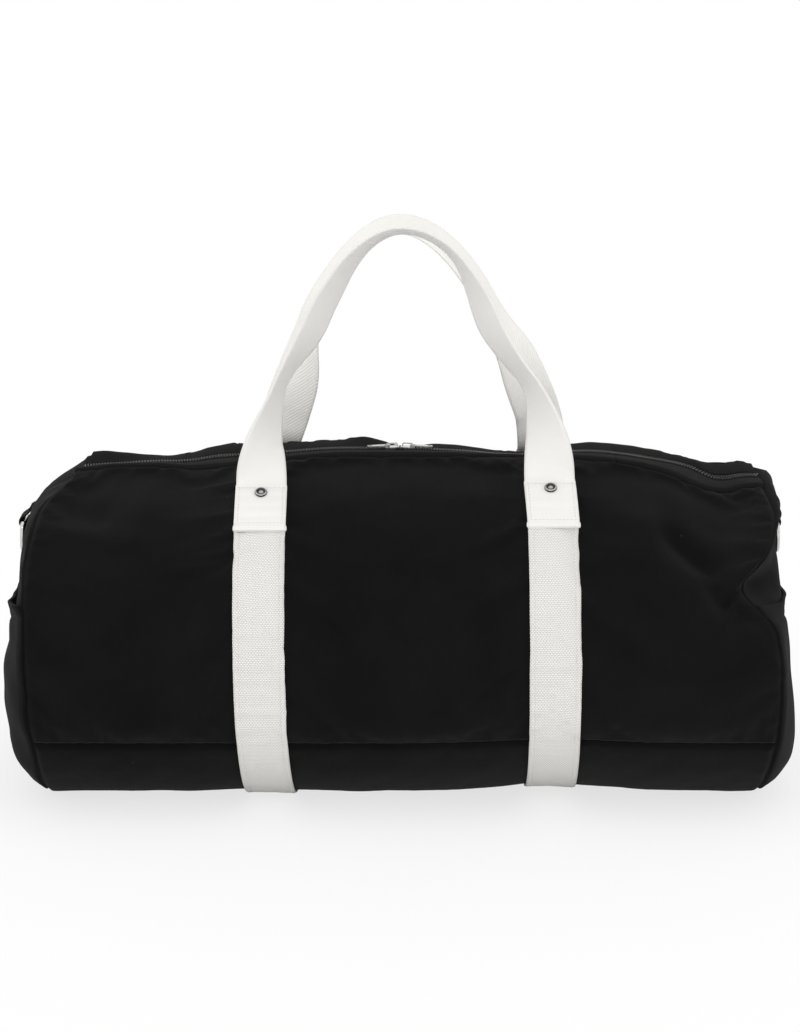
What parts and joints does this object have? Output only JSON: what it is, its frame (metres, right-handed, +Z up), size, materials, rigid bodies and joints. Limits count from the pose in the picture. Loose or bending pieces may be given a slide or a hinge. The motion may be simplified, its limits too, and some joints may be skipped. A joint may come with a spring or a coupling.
{
  "type": "barrel bag",
  "caption": "Soft canvas barrel bag with a zipped top, webbing body straps that carry loop handles, slip pockets on the round ends and D-rings for a shoulder strap.",
  "frame": {"origin": "centre of the bag's footprint, on the surface it stands on", "axes": "+X along the barrel to the right as seen from the front, +Y from front to back, +Z up"},
  "size_m": [0.6192, 0.2844, 0.4377],
  "materials": {
    "canvas": "matte black cotton canvas",
    "webbing": "off-white cotton webbing",
    "zip_tape": "black woven tape",
    "zip_coil": "dark coil",
    "nickel": "nickel plated",
    "gunmetal": "dark gunmetal"
  },
  "bodies": {
    "bag": {"front_panel": "canvas", "back_panel": "canvas", "base_panel": "canvas", "left_end_panel": "canvas", "right_end_panel": "canvas", "left_end_pocket": "canvas", "right_end_pocket": "canvas", "left_body_strap": "webbing", "right_body_strap": "webbing", "front_handle_ends": "webbing", "back_handle_ends": "webbing", "front_rivets": "gunmetal", "back_rivets": "gunmetal", "rivet_back_caps": "gunmetal", "left_ring_tab": "canvas", "right_ring_tab": "canvas", "left_zip_end": "canvas", "right_zip_end": "canvas"},
    "front_handle_loop": {"front_handle": "webbing"},
    "back_handle_loop": {"back_handle": "webbing"},
    "front_lip": {"front_zip_strip": "canvas", "front_zip_tape": "zip_tape", "front_coil": "zip_coil"},
    "back_lip": {"back_zip_strip": "canvas", "back_zip_tape": "zip_tape", "back_coil": "zip_coil"},
    "left_slider": {"left_slider": "nickel"},
    "right_slider": {"right_slider": "nickel"},
    "left_pull": {"left_pull": "nickel"},
    "right_pull": {"right_pull": "nickel"},
    "left_ring": {"left_d_ring": "nickel"},
    "right_ring": {"right_d_ring": "nickel"}
  },
  "joints": [
    {"name": "front_handle_fold", "type": "hinge", "parent": "bag", "child": "front_handle_loop", "pos_m": [0, -0.06396, 0.25133], "axis": [1, 0, 0], "range_deg": [0, 115]},
    {"name": "back_handle_fold", "type": "hinge", "parent": "bag", "child": "back_handle_loop", "pos_m": [0, 0.06396, 0.25133], "axis": [-1, 0, 0], "range_deg": [0, 115]},
    {"name": "front_lip_fold", "type": "hinge", "parent": "bag", "child": "front_lip", "pos_m": [0, -0.02224, 0.25851], "axis": [1, 0, 0], "range_deg": [0, 105], "deforming": ["front_zip_tape", "front_coil"]},
    {"name": "back_lip_fold", "type": "hinge", "parent": "bag", "child": "back_lip", "pos_m": [0, 0.02224, 0.25851], "axis": [-1, 0, 0], "range_deg": [0, 105], "deforming": ["back_zip_tape", "back_coil"]},
    {"name": "left_slider_run", "type": "slide", "parent": "bag", "child": "left_slider", "axis": [-0.9981, 0, -0.061], "range_m": [0, 0.21]},
    {"name": "right_slider_run", "type": "slide", "parent": "bag", "child": "right_slider", "axis": [0.9981, 0, -0.061], "range_m": [0, 0.21]},
    {"name": "left_pull_flip", "type": "hinge", "parent": "left_slider", "child": "left_pull", "pos_m": [-0.00838, 0, 0.26019], "axis": [0, 1, 0], "range_deg": [0, 110]},
    {"name": "right_pull_flip", "type": "hinge", "parent": "right_slider", "child": "right_pull", "pos_m": [0.00838, 0, 0.26019], "axis": [0, -1, 0], "range_deg": [0, 110]},
    {"name": "left_ring_swing", "type": "hinge", "parent": "bag", "child": "left_ring", "pos_m": [-0.29195, 0, 0.20122], "axis": [0, 1, 0], "range_deg": [0, 150]},
    {"name": "right_ring_swing", "type": "hinge", "parent": "bag", "child": "right_ring", "pos_m": [0.29195, 0, 0.20122], "axis": [0, -1, 0], "range_deg": [0, 150]}
  ]
}
